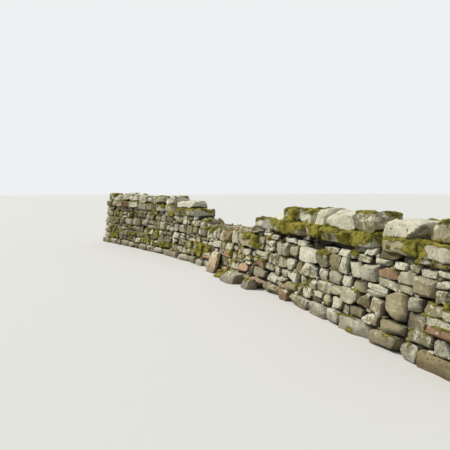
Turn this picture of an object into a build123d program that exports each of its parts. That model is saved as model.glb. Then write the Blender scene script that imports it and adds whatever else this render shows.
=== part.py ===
from build123d import *
import math
import os

# A dry stone field wall, 12.6 m long, in six bays that bend towards its front.
# Distances along the wall run from its left end, seen from the front. The origin is on
# the underside of the footing, at mid length, with +X along the wall and -Y in front.

# Plan
BAY_LENGTH = 2100.0
BAY_TURNS = (1.0, 4.0, 6.0, 5.0, 3.0, 1.0)  # degrees that each bay turns to the front
BAY_RISES = (150.0, 100.0, 40.0, 0.0, 0.0, 0.0)  # how much taller each bay stands
RUNS_PER_BAY = 3  # straight runs that follow the bend

# Cross section
BASE_WIDTH = 680.0
BATTER = 1 / 7  # how far each face leans in for each unit of height
BODY_HEIGHT = 790.0  # from the footing to the cover band
LEAF_AT_BASE = 230.0  # how deep the face stones reach in
LEAF_AT_TOP = 160.0
FOOTING_HEIGHT = 160.0
FOOTING_STEP = 60.0  # how far the footing stands out on each side
FOOTING_STONES = 5  # in each side of a bay

# Courses of the faces. The lower ones end at these shares of the body's height in all bays,
# and the upper ones share what is left below the top of their own bay.
LOWER_COURSE_SHARES = (0.18, 0.36, 0.54, 0.80)
UPPER_COURSES = 2
COURSE_WANDER = 14.0  # how much higher or lower the lines between courses lie in one bay

# Face stones, which stand out of their backing with open joints between them
STONE_LENGTH = 310.0
STONE_LENGTH_RANGE = 0.4  # share by which stones differ in length
SHORTEST_STONE = 100.0
WAYS_TRIED = 80  # to break bond with the course below
STONE_PROUD = 14.0  # how much further out or in than the face a stone may stand
STONE_BITE = 15.0  # how far the stones are sunk into their backing
JOINT_WIDTH = 22.0
JOINT_DEPTH = 75.0
JUMPER_LENGTH = 320.0  # a jumper is two courses high, and each face has one in a bay

# Through stones, from face to face
THROUGHS_PER_BAY = 2
THROUGH_COURSE = 3
THROUGH_LENGTH = 270.0
THROUGH_STANDS_OUT = 30.0
THROUGH_ARRIS = 12.0

# Cover band of flat slabs, and the coping on it
SLABS_PER_BAY = 4
COVER_THICKNESS = 140.0
COVER_OVERHANG = 60.0
COVER_ARRIS = 18.0
SLAB_LENGTH_RANGE = 0.3  # share by which slabs differ in length
COPE_WIDTH_RANGE = 40.0  # how much wider or narrower than the wall's top a cope is
COPE_TAPER = 9.0  # degrees
COPE_ARRIS = 38.0
OPEN_JOINT = 14.0  # between neighbouring slabs and copes

# The copes of each bay from the left: length, as a share of the bay, and height, 0 if it fell
COPES = (
    ((5, 230), (4, 190), (6, 250), (5, 215)),
    ((5, 240), (4, 200), (6, 215), (3, 180), (4, 230)),
    ((8, 190), (12, 0)),
    (),
    ((4, 150), (4, 190), (4, 215), (3, 240), (6, 220)),
    ((5, 235), (7, 200), (4, 245), (5, 215)),
)

# Bonded wall heads, of long and short courses in turn
HEAD_LONG = 460.0
HEAD_SHORT = 270.0

# The breach, where the top has fallen
BREACH_BAYS = (2, 3)
SLABS_BEFORE_BREACH = 2  # cover slabs that still lie in its first bay
SLABS_AFTER_BREACH = 1  # and in its last
BREACH_COURSES_LEFT = 4
BREACH_RUN_LEFT = 350.0  # how much less of the next course down fell, at each side
BREACH_RUN_RIGHT = 230.0
HEARTING_SPILL = 45.0  # how far the fill has washed down below the faces

# A cover slab that slid down the front, and now leans on the footing
LEANING_INTO_BAY = 260.0
LEANING_WIDTH = 340.0
LEANING_LENGTH = 370.0
LEANING_THICKNESS = 80.0
LEANING_FOOT_OUT = 45.0  # from the footing to its foot

# Stones that fell at the foot of the breach: distance into its last bay, length, depth, height
FALLEN_STONES = (
    (830.0, 300.0, 260.0, 120.0),
    (1260.0, 460.0, 300.0, 170.0),
    (1850.0, 340.0, 220.0, 135.0),
)
FALLEN_ARRIS = 22.0
SEAT_GAP = 0.3

BAYS = range(len(BAY_TURNS))
COURSES = len(LOWER_COURSE_SHARES) + UPPER_COURSES
WALL_LENGTH = BAY_LENGTH * len(BAY_TURNS)
START_HEADING = sum(BAY_TURNS[: len(BAY_TURNS) // 2])
FOOTING_REACH = BASE_WIDTH / 2 + FOOTING_STEP
HEAD_BAYS = {BAYS[0]: "left", BAYS[-1]: "right"}
HEAD_LENGTHS = (HEAD_LONG, HEAD_SHORT)
HEAD_JOINT_DEPTH = JOINT_DEPTH - STONE_BITE
NEARLY_SQUARE = 0.9  # cosine from which a face counts as facing a direction


def walk(distance):
    """The point and heading at a distance along the wall, counted from its left end."""
    x, y, angle = 0.0, 0.0, START_HEADING
    for turn in BAY_TURNS:
        step = min(distance, BAY_LENGTH)
        bend = turn * step / BAY_LENGTH
        chord = step
        if bend:
            chord = 2 * BAY_LENGTH / math.radians(turn) * math.sin(math.radians(bend) / 2)
        x += chord * math.cos(math.radians(angle - bend / 2))
        y += chord * math.sin(math.radians(angle - bend / 2))
        angle -= bend
        distance -= step
    return x, y, angle


MIDDLE = walk(WALL_LENGTH / 2)


def place(distance):
    """The plan point and the unit direction along the wall, with the middle at the origin."""
    x, y, angle = walk(distance)
    along = Vector(math.cos(math.radians(angle)), math.sin(math.radians(angle)), 0)
    return Vector(x - MIDDLE[0], y - MIDDLE[1], 0), along


def station(distance):
    """The upright plane across the wall: local X points to the back and local Y up."""
    point, along = place(distance)
    return Plane(origin=point, x_dir=(-along.Y, along.X, 0), z_dir=along)


def bed(distance, level):
    """The level plane on the wall's centre line: local X runs along the wall."""
    point, along = place(distance)
    return Plane(origin=point + Vector(0, 0, level), x_dir=along, z_dir=(0, 0, 1))


def body_top(bay):
    return FOOTING_HEIGHT + BODY_HEIGHT + BAY_RISES[bay]


def half_width(level):
    return BASE_WIDTH / 2 - BATTER * (level - FOOTING_HEIGHT)


def leaf_depth(level):
    share = (level - FOOTING_HEIGHT) / BODY_HEIGHT
    return LEAF_AT_BASE + (LEAF_AT_TOP - LEAF_AT_BASE) * share


def varied(number):
    """A spread of values between -1 and 1 that looks irregular and is always the same."""
    golden_ratio = (1 + math.sqrt(5)) / 2
    return 2 * (number * golden_ratio % 1) - 1


def course_lines(bay):
    """The levels between a bay's courses, from the top of the footing to the top of the body."""
    lines = [FOOTING_HEIGHT]
    for number, share in enumerate(LOWER_COURSE_SHARES):
        wander = COURSE_WANDER * varied(number * len(BAY_TURNS) + bay)
        lines.append(FOOTING_HEIGHT + BODY_HEIGHT * share + wander)
    upper_course = (body_top(bay) - lines[-1]) / UPPER_COURSES
    for _ in range(UPPER_COURSES):
        lines.append(lines[-1] + upper_course)
    return lines


def spans(start, end, shares, joint):
    """Splits a stretch into stones by their shares, as (start, end) less half a joint each."""
    length = end - start
    for share in shares:
        end = start + length * share / sum(shares)
        yield start + joint / 2, end - joint / 2
        start = end


def lay(outline, start, end, mode=Mode.ADD):
    """Carries a section along part of one bay in straight runs that meet at mitres.
    Its points are (towards the back, up)."""
    runs = max(1, round(RUNS_PER_BAY * (end - start) / BAY_LENGTH))
    length = (end - start) / runs
    for run in range(runs):
        low = start + run * length
        with BuildPart() as straight:
            with BuildSketch(station(low + length / 2)) as section:
                with BuildLine():
                    Polyline(*outline, close=True)
                make_face()
            extrude(section.sketch, amount=length, both=True)
            split(bisect_by=station(low), keep=Keep.TOP)
            split(bisect_by=station(low + length), keep=Keep.BOTTOM)
        add(straight.part, mode=mode)


def footing_joints(bay, side):
    """Where one side of the footing has upright joints: between stones, and where bays meet."""
    start, end = bay * BAY_LENGTH, (bay + 1) * BAY_LENGTH
    numbers = range((2 * bay + side) * FOOTING_STONES, (2 * bay + side + 1) * FOOTING_STONES)
    shares = [1 + STONE_LENGTH_RANGE * varied(number) for number in numbers]
    joints = [start] + [last + JOINT_WIDTH / 2 for _, last in spans(start, end, shares, JOINT_WIDTH)]
    return [joint for joint in joints if JOINT_WIDTH < joint < WALL_LENGTH - JOINT_WIDTH]


def cover_slabs(bay):
    """The cover slabs of a bay, as (start, end), without those that fell."""
    numbers = range(bay * SLABS_PER_BAY, (bay + 1) * SLABS_PER_BAY)
    shares = [1 + SLAB_LENGTH_RANGE * varied(number) for number in numbers]
    slabs = list(spans(bay * BAY_LENGTH, (bay + 1) * BAY_LENGTH, shares, OPEN_JOINT))
    if bay == BREACH_BAYS[0]:
        return slabs[:SLABS_BEFORE_BREACH]
    return slabs[-SLABS_AFTER_BREACH:] if bay == BREACH_BAYS[-1] else slabs


def fallen_stretch(course):
    """The stretch of a course that fell, between cover slabs. It is shorter with each course down."""
    start = cover_slabs(BREACH_BAYS[0])[-1][1] + OPEN_JOINT
    end = cover_slabs(BREACH_BAYS[-1])[0][0] - OPEN_JOINT
    courses_down = COURSES - 1 - course
    return start + courses_down * BREACH_RUN_LEFT, end - courses_down * BREACH_RUN_RIGHT


def clear_breach(bay, spill):
    """Takes what fell out of a layer of a bay, course by course, and as much deeper as the spill."""
    for course in range(BREACH_COURSES_LEFT, COURSES):
        left, right = fallen_stretch(course)
        low = course_lines(bay)[course] - spill
        high = body_top(bay) + COVER_THICKNESS
        outline = [(-BASE_WIDTH, low), (BASE_WIDTH, low), (BASE_WIDTH, high), (-BASE_WIDTH, high)]
        start, end = max(left, bay * BAY_LENGTH), min(right, (bay + 1) * BAY_LENGTH)
        lay(outline, start, end, mode=Mode.SUBTRACT)


def head_stretch(bay, length):
    """Where a stretch of this length lies in the wall head of an end bay."""
    start = 0 if bay == BAYS[0] else WALL_LENGTH - length
    return start, start + length


def beside_head(bay, length):
    """What a wall head of this length leaves of a bay."""
    start, end = bay * BAY_LENGTH, (bay + 1) * BAY_LENGTH
    return (
        start + length if bay == BAYS[0] else start,
        end - length if bay == BAYS[-1] else end,
    )


def through_middles(bay):
    first, last = beside_head(bay, HEAD_LONG)
    spacing = (last - first) / THROUGHS_PER_BAY
    return [first + spacing * (count + 0.5) for count in range(THROUGHS_PER_BAY)]


def jumper(bay, side):
    """The course that a face's jumper starts from, and its start and end along the wall."""
    first, last = beside_head(bay, HEAD_LONG)
    middle = (first + last) / 2 + (last - first) / 4 * varied(2 * bay + side)
    return bay % 2, (middle - JUMPER_LENGTH / 2, middle + JUMPER_LENGTH / 2)


def taken_stretches(bay, course, side):
    """What heads, through stones, the jumper and the breach take of a course of one face."""
    taken = []
    if bay in HEAD_BAYS:
        taken.append(head_stretch(bay, HEAD_LENGTHS[course % 2]))
    if course == THROUGH_COURSE:
        half = THROUGH_LENGTH / 2
        taken += [(middle - half, middle + half) for middle in through_middles(bay)]
    lower_course, stretch = jumper(bay, side)
    if course in (lower_course, lower_course + 1):
        taken.append(stretch)
    if bay in BREACH_BAYS and course >= BREACH_COURSES_LEFT:
        taken.append(fallen_stretch(course))
    return sorted(taken)


def free_stretches(bay, taken):
    """What is left of a bay's length beside the taken stretches, where a stone fits in."""
    start, end = bay * BAY_LENGTH, (bay + 1) * BAY_LENGTH
    for low, high in [*taken, (end, end)]:
        if low - start > SHORTEST_STONE:
            yield start, low
        start = max(start, high)


def face_stone(side, low, high, start, end, proud):
    """A stone between two course lines, whose face stands further out than the wall's by this."""
    low += JOINT_WIDTH / 2
    high -= JOINT_WIDTH / 2
    back = half_width(high) - JOINT_DEPTH - STONE_BITE
    with BuildSketch(station((start + end) / 2)) as end_view:
        with BuildLine():
            Polyline(
                (side * (half_width(low) + proud), low),
                (side * (half_width(high) + proud), high),
                (side * back, high),
                (side * back, low),
                close=True,
            )
        make_face()
    return extrude(end_view.sketch, (end - start) / 2, both=True, mode=Mode.PRIVATE)


def way_to_fill(left, right, seed):
    """One of many ways to fill a free stretch with stones, as their (start, end)."""
    count = max(1, round((right - left) / STONE_LENGTH + varied(seed) / 2))
    shares = [1 + STONE_LENGTH_RANGE * varied(seed + number) for number in range(1, count + 1)]
    return list(spans(left, right, shares, JOINT_WIDTH))


def bond(stones, below):
    """How far the upright joints between stones lie from the ends of those below them."""
    joints = [end for _, end in stones[:-1]]
    ends = [end for stone in below for end in stone]
    return min((abs(joint - end) for joint in joints for end in ends), default=0)


def face_courses(bay, side):
    """The stones of each course as (start, end), laid so that no upright joint runs on."""
    below = []
    for course in range(COURSES):
        taken = taken_stretches(bay, course, side)
        laid = []
        for left, right in free_stretches(bay, taken):
            ways = [way_to_fill(left, right, WAYS_TRIED * course + n) for n in range(WAYS_TRIED)]
            laid += max(ways, key=lambda stones: bond(stones, below))
        yield laid
        below = laid + taken


def face_stones(bay, side):
    """All stones of one face of a bay: its jumper, and the others course by course."""
    lines = course_lines(bay)
    lower, (left, right) = jumper(bay, side)
    start, end = left + JOINT_WIDTH / 2, right - JOINT_WIDTH / 2
    stones = [face_stone(side, lines[lower], lines[lower + 2], start, end, STONE_PROUD)]
    for course, laid in enumerate(face_courses(bay, side)):
        for start, end in laid:
            proud = STONE_PROUD * varied(start + course)
            stones.append(face_stone(side, lines[course], lines[course + 1], start, end, proud))
    return stones


def footing_front(distance, length):
    """Where a straight stone of this length ends that stands against the front of the footing.
    The footing bends towards it, so only the two ends of the stone come close."""
    run_length = BAY_LENGTH / RUNS_PER_BAY
    stone = station(distance)
    fronts = []
    for along in (-length / 2, length / 2):
        run = (distance + along) // run_length
        footing_run = station((run + 0.5) * run_length)
        end = stone.origin + stone.z_dir * along
        face = footing_run.origin - footing_run.x_dir * FOOTING_REACH
        gap = (face - end).dot(footing_run.x_dir)
        fronts.append(gap / stone.x_dir.dot(footing_run.x_dir))
    return min(fronts) - SEAT_GAP


def keep(name, built):
    built.part.label = name
    export_step(built.part, f"parts/{name}.step")


def section_between(low, high, recess=0):
    """The whole width of the wall between two levels, less a recess from each face."""
    wide = half_width(low) - recess
    narrow = half_width(high) - recess
    return [(-wide, low), (wide, low), (narrow, high), (-narrow, high)]


def backing_section(side, top):
    """One face behind its joints: side is -1 in front and 1 at the back."""
    low = FOOTING_HEIGHT
    return [
        (side * (half_width(low) - JOINT_DEPTH), low),
        (side * (half_width(top) - JOINT_DEPTH), top),
        (side * (half_width(top) - leaf_depth(top)), top),
        (side * (half_width(low) - leaf_depth(low)), low),
    ]


def hearting_section(top):
    """The small fill between the two faces."""
    low = FOOTING_HEIGHT
    inside_low = half_width(low) - leaf_depth(low)
    inside_top = half_width(top) - leaf_depth(top)
    return [(-inside_low, low), (inside_low, low), (inside_top, top), (-inside_top, top)]


os.makedirs("parts", exist_ok=True)

for bay in BAYS:
    number = bay + 1
    start = bay * BAY_LENGTH
    end = start + BAY_LENGTH
    top = body_top(bay)
    lines = course_lines(bay)

    # Footing: the widest course, on the ground, with open joints between its stones
    with BuildPart() as footing:
        outline = [
            (-FOOTING_REACH, 0),
            (FOOTING_REACH, 0),
            (FOOTING_REACH, FOOTING_HEIGHT),
            (-FOOTING_REACH, FOOTING_HEIGHT),
        ]
        lay(outline, start, end)
        for side in (-1, 1):
            for joint in footing_joints(bay, side):
                with BuildSketch(bed(joint, 0)) as gap:
                    with Locations((0, side * FOOTING_REACH)):
                        Rectangle(JOINT_WIDTH, 2 * JOINT_DEPTH)
                extrude(gap.sketch, amount=FOOTING_HEIGHT, mode=Mode.SUBTRACT)
    keep(f"footing_{number}", footing)

    # Through stones: each ties the two faces and stands a little out of both
    with BuildPart() as throughs:
        low, high = lines[THROUGH_COURSE], lines[THROUGH_COURSE + 1]
        across = 2 * (half_width(low) + THROUGH_STANDS_OUT)
        for middle in through_middles(bay):
            with BuildSketch(station(middle)) as end_view:
                with Locations((0, (low + high) / 2)):
                    Rectangle(across, high - low - JOINT_WIDTH)
            extrude(end_view.sketch, amount=THROUGH_LENGTH / 2, both=True)
        across_axis = station(start + BAY_LENGTH / 2).x_dir
        ends = [
            face
            for face in throughs.faces()
            if abs(face.normal_at().dot(across_axis)) > NEARLY_SQUARE
        ]
        chamfer([edge for face in ends for edge in face.edges()], length=THROUGH_ARRIS)
    keep(f"through_stones_{number}", throughs)

    # Wall head: long and short courses in turn, bonded into the bay beside it, with bed joints
    if bay in HEAD_BAYS:
        with BuildPart() as head:
            for course in range(COURSES):
                outline = section_between(lines[course], lines[course + 1])
                lay(outline, *head_stretch(bay, HEAD_LENGTHS[course % 2]))
            with BuildPart(mode=Mode.SUBTRACT):
                first, last = head_stretch(bay, HEAD_LONG)
                for line in lines[1:-1]:
                    outline = section_between(line - JOINT_WIDTH / 2, line + JOINT_WIDTH / 2)
                    lay(outline, first, last)
                outline = section_between(FOOTING_HEIGHT, top, recess=HEAD_JOINT_DEPTH)
                core_first = max(first, HEAD_JOINT_DEPTH)
                core_last = min(last, WALL_LENGTH - HEAD_JOINT_DEPTH)
                lay(outline, core_first, core_last, mode=Mode.SUBTRACT)
        keep(f"wall_head_{HEAD_BAYS[bay]}", head)

    # The two faces and the hearting, cut round the head and the through stones
    for name, outline, side, spill in (
        ("front_face", backing_section(-1, top), -1, 0.0),
        ("back_face", backing_section(1, top), 1, 0.0),
        ("hearting", hearting_section(top), 0, HEARTING_SPILL),
    ):
        with BuildPart() as layer:
            lay(outline, *beside_head(bay, HEAD_SHORT))
            if bay in BREACH_BAYS:
                clear_breach(bay, spill)
            add(throughs.part, mode=Mode.SUBTRACT)
            if bay in HEAD_BAYS:
                add(head.part, mode=Mode.SUBTRACT)
            if side:
                add(face_stones(bay, side))
        keep(f"{name}_{number}", layer)

    # Cover band: flat slabs across the wall, except where they fell
    with BuildPart() as cover:
        for low, high in cover_slabs(bay):
            with BuildSketch(station((low + high) / 2)) as end_view:
                with Locations((0, top + COVER_THICKNESS / 2)):
                    Rectangle(2 * (half_width(top) + COVER_OVERHANG), COVER_THICKNESS)
                chamfer(end_view.vertices(), length=COVER_ARRIS)
            extrude(end_view.sketch, amount=(high - low) / 2, both=True)
    keep(f"cover_band_{number}", cover)

    # Coping: heavy blocks that taper, with their top arrises knocked off, except over the breach
    if COPES[bay]:
        with BuildPart() as coping:
            lengths = [length for length, height in COPES[bay]]
            copes = zip(spans(start, end, lengths, OPEN_JOINT), COPES[bay])
            for (low, high), (length, height) in copes:
                if not height:
                    continue
                width = 2 * half_width(FOOTING_HEIGHT + BODY_HEIGHT)
                width += COPE_WIDTH_RANGE * varied(length + height)
                with BuildSketch(bed((low + high) / 2, top + COVER_THICKNESS)) as seat:
                    Rectangle(high - low, width)
                extrude(seat.sketch, amount=height, taper=COPE_TAPER)
            top_faces = [face for face in coping.faces() if face.normal_at().Z > NEARLY_SQUARE]
            chamfer([edge for face in top_faces for edge in face.edges()], length=COPE_ARRIS)
        keep(f"cope_stones_{number}", coping)

# Fallen stones, on the ground against the footing below the breach
with BuildPart() as fallen_stones:
    for into_bay, length, depth, height in FALLEN_STONES:
        middle = BREACH_BAYS[-1] * BAY_LENGTH + into_bay
        near = footing_front(middle, length)
        far = near - depth
        with BuildSketch(station(middle)) as end_view:
            with BuildLine():
                Polyline(
                    (near, 0),
                    (near, height),
                    (near - depth / 2, height - FALLEN_ARRIS),
                    (far, height / 2),
                    (far + FALLEN_ARRIS, 0),
                    close=True,
                )
            make_face()
        extrude(end_view.sketch, amount=length / 2, both=True)

    # The leaning slab: its underside passes just over the footing's arris
    middle = BREACH_BAYS[-1] * BAY_LENGTH + LEANING_INTO_BAY
    arris = footing_front(middle, LEANING_WIDTH)
    foot = arris - LEANING_FOOT_OUT
    slope = math.atan2(LEANING_FOOT_OUT, FOOTING_HEIGHT)
    top_out = foot + LEANING_LENGTH * math.sin(slope)
    top_up = LEANING_LENGTH * math.cos(slope)
    with BuildSketch(station(middle)) as end_view:
        with BuildLine():
            Polyline(
                (foot, 0),
                (top_out, top_up),
                (
                    top_out - LEANING_THICKNESS * math.cos(slope),
                    top_up + LEANING_THICKNESS * math.sin(slope),
                ),
                (foot - LEANING_THICKNESS / math.cos(slope), 0),
                close=True,
            )
        make_face()
    extrude(end_view.sketch, amount=LEANING_WIDTH / 2, both=True)
keep("fallen_stones", fallen_stones)
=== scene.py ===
# %% [markdown]
# A dry stone wall is laid without mortar. Two leaning faces of rough stone stand on a wide
# footing with small fill between them, long through stones tie them, flat slabs cover them
# and a heavy coping holds everything down. The measured model has those layers as plain
# solids in their true places. This lesson dresses them stone by stone: every stone is a
# surface worked out with numpy, and each finish is a node tree. The measured model is
# loaded first, because every stone takes its place from it.

# %% Load the measured model
import math

import bpy
import numpy as np
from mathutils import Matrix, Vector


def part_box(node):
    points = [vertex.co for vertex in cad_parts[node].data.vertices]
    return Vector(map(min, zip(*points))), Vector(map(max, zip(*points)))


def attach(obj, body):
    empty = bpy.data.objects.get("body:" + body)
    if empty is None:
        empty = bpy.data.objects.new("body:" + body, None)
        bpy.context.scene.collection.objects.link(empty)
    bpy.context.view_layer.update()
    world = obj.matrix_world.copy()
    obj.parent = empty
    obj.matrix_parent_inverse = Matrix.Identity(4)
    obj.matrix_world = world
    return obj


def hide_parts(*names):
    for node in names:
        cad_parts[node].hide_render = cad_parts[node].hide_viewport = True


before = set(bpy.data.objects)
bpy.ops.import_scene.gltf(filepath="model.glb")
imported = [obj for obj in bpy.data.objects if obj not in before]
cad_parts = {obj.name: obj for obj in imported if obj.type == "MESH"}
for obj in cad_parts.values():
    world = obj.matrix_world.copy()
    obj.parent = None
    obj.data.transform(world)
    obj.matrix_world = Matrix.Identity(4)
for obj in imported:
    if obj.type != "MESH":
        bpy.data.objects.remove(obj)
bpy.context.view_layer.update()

# %% [markdown]
# Every length comes from the measured model.

# %% [markdown]
# The picture is taken by someone who stands in front of the wall's near end, with their
# eyes 1.5 m up, and looks along it. The camera is set by those real facts. The focal
# length follows from how fast the far stones shrink. It is given in widths of the
# picture, so it holds at any render size.

# %% Camera
EYE_HEIGHT = 1.547
EYE_AT = (8.228, -4.172)
LOOKS_LEFT_OF_BACK = 63.46  # degrees from +Y towards -X
LOOKS_DOWN = 4.23
FOCAL_IN_WIDTHS = 1.041
SEES_TO = 500.0  # metres

camera_data = bpy.data.cameras.new("camera")
camera_data.lens = FOCAL_IN_WIDTHS * camera_data.sensor_width
camera_data.clip_end = SEES_TO
camera = bpy.data.objects.new("camera", camera_data)
camera.location = (*EYE_AT, EYE_HEIGHT)
camera.rotation_euler = (math.radians(90 - LOOKS_DOWN), 0, math.radians(LOOKS_LEFT_OF_BACK))
bpy.context.scene.collection.objects.link(camera)
bpy.context.scene.camera = camera
print("Focal length:", round(camera_data.lens, 1), "mm, sensor:", camera_data.sensor_width, "mm")

# %% [markdown]
# Masons work along the wall, not along X and Y. So a stone is placed by three wall
# coordinates: how far along the centre line, how far across it, and how high. The wall is
# a chain of six arcs, one a bay, so the way to the part's own X and Y is a short formula,
# and the way back looks for the nearest point on a finely divided centre line.

# %% Wall coordinates
BAY_LENGTH = 2.1
BAY_TURNS = np.radians([1, 4, 6, 5, 3, 1])
BAYS = len(BAY_TURNS)
WALL_LENGTH = BAY_LENGTH * BAYS
BAY_HEADINGS = BAY_TURNS[: BAYS // 2].sum() - np.concatenate([[0], np.cumsum(BAY_TURNS)])
BAY_STARTS = np.zeros((BAYS, 2))
BEYOND_THE_ENDS = 0.2
STATIONS = 6501  # among which the nearest point is looked for


def bay_of(along):
    """The number of the bay, from 0, that a distance along the wall lies in."""
    return np.clip(along // BAY_LENGTH, 0, BAYS - 1).astype(int)


def centre_line(along):
    """The point and heading on the centre line. In a bay the point lies on a chord, whose length is
    the run times the sine of half its bend over half its bend, and which points halfway between
    the two headings."""
    bay = bay_of(along)
    run = along - bay * BAY_LENGTH
    bend = BAY_TURNS[bay] * run / BAY_LENGTH
    chord = run * np.sinc(bend / 2 / np.pi)
    halfway = BAY_HEADINGS[bay] - bend / 2
    step = chord[..., None] * np.stack([np.cos(halfway), np.sin(halfway)], -1)
    return BAY_STARTS[bay] + step, BAY_HEADINGS[bay] - bend


for bay in range(1, BAYS):
    turn = BAY_TURNS[bay - 1]
    halfway = BAY_HEADINGS[bay - 1] - turn / 2
    chord = BAY_LENGTH * np.sinc(turn / 2 / np.pi)
    BAY_STARTS[bay] = BAY_STARTS[bay - 1] + chord * np.array([math.cos(halfway), math.sin(halfway)])
BAY_STARTS -= centre_line(np.array(WALL_LENGTH / 2))[0]


def to_part(wall):
    """From wall coordinates to the part's: the point on the centre line, plus the distance across
    it, square to the heading and towards the back. Height stays."""
    point, heading = centre_line(wall[..., 0])
    x = point[..., 0] - wall[..., 1] * np.sin(heading)
    y = point[..., 1] + wall[..., 1] * np.cos(heading)
    return np.stack([x, y, wall[..., 2]], -1)


def to_wall(points):
    """From the part's coordinates to the wall's, by the nearest of many points on the centre line."""
    stations = np.linspace(-BEYOND_THE_ENDS, WALL_LENGTH + BEYOND_THE_ENDS, STATIONS)
    line, heading = centre_line(stations)
    nearest = ((points[:, None, :2] - line) ** 2).sum(-1).argmin(1)
    away = points[:, :2] - line[nearest]
    turn = heading[nearest]
    along = stations[nearest] + away[:, 0] * np.cos(turn) + away[:, 1] * np.sin(turn)
    across = away[:, 1] * np.cos(turn) - away[:, 0] * np.sin(turn)
    return np.stack([along, across, points[:, 2]], -1)


wall_ends = to_part(np.array([[0.0, 0.0, 0.0], [WALL_LENGTH, 0.0, 0.0]]))
print("The centre line runs from and to", wall_ends.round(3).tolist())

# %% [markdown]
# Slabs, copes, through stones and fallen stones are single stones in the measured model
# too, with up to six of them in one node. Each is told from its neighbours by the gap
# along the wall. What is kept of a solid is its cell: eight corners, from its reach
# along and across at its foot and at its top. A stone is later fitted into each cell.

# %% Cells of the measured stones
JOINED_WITHIN = 0.002


def triangles_of(node):
    """The triangles of a node, in wall coordinates."""
    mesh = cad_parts[node].data
    points = np.empty(len(mesh.vertices) * 3)
    mesh.vertices.foreach_get("co", points)
    corners = np.empty(len(mesh.loops), int)
    mesh.loops.foreach_get("vertex_index", corners)
    return to_wall(points.reshape(-1, 3))[corners].reshape(-1, 3, 3)


def told_apart(triangles):
    """Groups of triangles with gaps between them along the wall. Triangles are sorted by where they
    start, and a new group starts where one lies beyond the reach of all before it."""
    triangles = triangles[triangles[:, :, 0].min(1).argsort()]
    reach = np.maximum.accumulate(triangles[:, :, 0].max(1))
    starts = np.flatnonzero(triangles[1:, :, 0].min(1) > reach[:-1] + JOINED_WITHIN) + 1
    return np.split(triangles, starts)


def cell_of(triangles):
    """A solid's cell, indexed by its end along, side across, and foot or top. The foot's corners take
    the reach of the points in the lowest third, and the top's that of the highest fifth."""
    solid = triangles.reshape(-1, 3)
    low, high = solid[:, 2].min(), solid[:, 2].max()
    lowest_third = solid[:, 2] < low + (high - low) / 3
    highest_fifth = solid[:, 2] > high - (high - low) / 5
    cell = np.empty((2, 2, 2, 3))
    for level, near in enumerate((lowest_third, highest_fifth)):
        along, across = solid[near, 0], solid[near, 1]
        cell[:, :, level, 0] = [[along.min()], [along.max()]]
        cell[:, :, level, 1] = [across.min(), across.max()]
        cell[:, :, level, 2] = (low, high)[level]
    return cell


def cells_of(node):
    """The cells of a node's solids, in order along the wall."""
    return np.array([cell_of(solid) for solid in told_apart(triangles_of(node))])


print("Cover slabs in bay 1:", len(cells_of("cover_band_1")))

# %% [markdown]
# Nothing about a field stone is even: not its shape, its colour nor what grows on it. One
# kind of randomness serves for all of it: smooth noise, which is a random value at each
# corner of a grid of cubes, blended between the corners. It is worked out here for whole
# arrays of points at once, from a fixed rule, so that every run gives the same wall.

# %% Smooth noise

# Whole numbers that scramble a corner's place into a value of sixteen bits
PRIMES = np.array([73856093, 19349663, 83492791])
SEED_FACTOR = 2654435
FOLD_FACTOR = 1274126177
HIGHEST = 0xFFFF


def noise(points, cell, seed=0):
    """Smooth noise from -1 to 1. The cube's eight corner values come from whole numbers multiplied by
    large primes and folded together. A corner weighs by the fade 3x² - 2x³ along each axis."""
    place = points / cell
    corner = np.floor(place).astype(np.int64)
    fade = place - corner
    fade = fade * fade * (3 - 2 * fade)
    total = np.zeros(points.shape[:-1])
    for offset in np.ndindex(2, 2, 2):
        folded = (corner + offset) * PRIMES
        folded = folded[..., 0] ^ folded[..., 1] ^ folded[..., 2] ^ (seed * SEED_FACTOR)
        folded = (folded ^ (folded >> 13)) * FOLD_FACTOR
        value = ((folded ^ (folded >> 16)) & HIGHEST) / (HIGHEST / 2) - 1
        total += value * np.where(offset, fade, 1 - fade).prod(-1)
    return total


def layered_noise(points, layers, start=0.0):
    """A start plus several noises, each given by its weight, the size of its lumps and its seed."""
    return sum((weight * noise(points, cell, seed) for weight, cell, seed in layers), start)


def steps(value, low, high):
    """0 below the low edge and 1 above the high one, with a smooth rise between."""
    share = np.clip((value - low) / (high - low), 0, 1)
    return share * share * (3 - 2 * share)


line = np.linspace(0, 0.1, 5)[:, None] * (1, 0, 0)
print("Noise every 25 mm, with lumps of 100 mm:", noise(line, 0.1).round(2).tolist())

# %% [markdown]
# A rubble stone starts as a block and has lost its corners, to the hammer or to frost. It
# could be sculpted by hand, but this wall needs a thousand that differ. So each stone is a
# cube's skin divided into strips, rounded by a power norm, cut by planes that split off
# flakes and corners, and then stretched into its own cell and roughened. All stones of one
# kind are worked out together, as one array of stones by points by coordinates.

# %% Rough blocks
FLAKE_POWER = 1.8  # the highest that a cutting plane's normal is raised to
DEEPEST_CUT = 0.9  # from the middle of a block
NOISE_REACH = 50  # how far apart stones may read the noise

# Sizes of lumps and their heights
STONE_LUMPS = ((0.10, 0.009), (0.045, 0.0045), (0.02, 0.002))
BIG_STONE_LUMPS = ((0.16, 0.014), (0.06, 0.007), (0.024, 0.003))


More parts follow.
